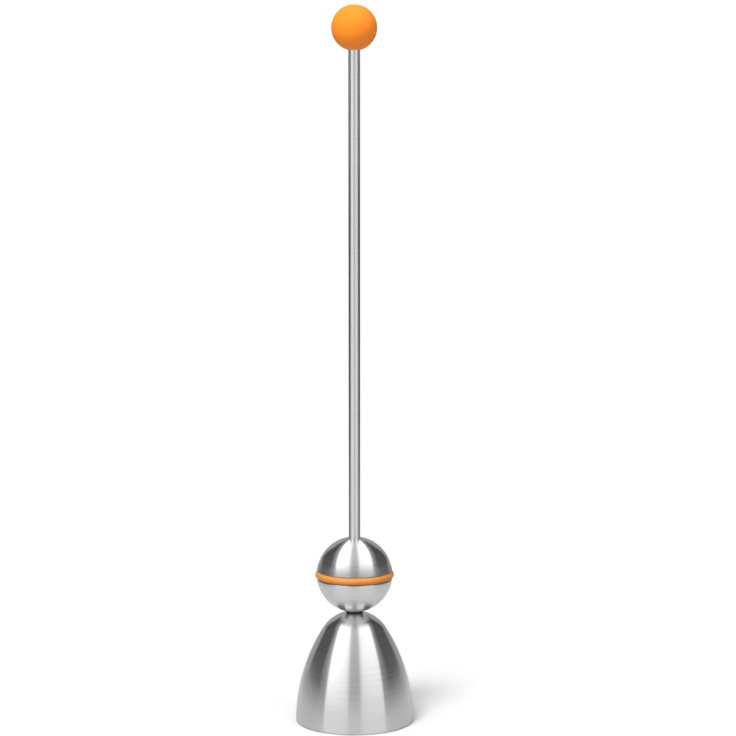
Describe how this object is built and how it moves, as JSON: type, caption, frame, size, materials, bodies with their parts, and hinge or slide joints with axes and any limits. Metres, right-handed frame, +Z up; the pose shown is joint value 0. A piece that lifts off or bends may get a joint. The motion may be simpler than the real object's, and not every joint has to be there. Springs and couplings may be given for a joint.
{
  "type": "drop-weight egg topper",
  "caption": "Hollow steel bell on a slim upright rod, with a steel ball weight that slides along the rod and drops to crack a neat ring in an eggshell.",
  "frame": {"origin": "centre of the circle on which the bell's rim stands", "axes": "+Z up the rod from the bell to the knob; X and Y are across it and alike"},
  "size_m": [0.035, 0.035, 0.211],
  "materials": {
    "bell_steel": "turned stainless steel, fine grooves round the axis",
    "ball_steel": "turned and polished stainless steel",
    "rod_steel": "ground stainless steel",
    "black_steel": "hardened steel with a black oxide finish",
    "fastener_steel": "plain stainless steel",
    "ring_rubber": "matte orange silicone",
    "knob_plastic": "matte orange plastic",
    "insert_brass": "plain brass"
  },
  "bodies": {
    "stem": {"bell": "bell_steel", "strike_washer": "black_steel", "flat_washer": "fastener_steel", "lock_washer": "fastener_steel", "cap_nut": "fastener_steel", "rod": "rod_steel", "knob": "knob_plastic", "knob_insert": "insert_brass"},
    "weight": {"ball_weight": "ball_steel", "grip_ring": "ring_rubber"}
  },
  "joints": [
    {"name": "weight_slide", "type": "slide", "parent": "stem", "child": "weight", "axis": [0, 0, 1], "range_m": [0, 0.143]}
  ]
}
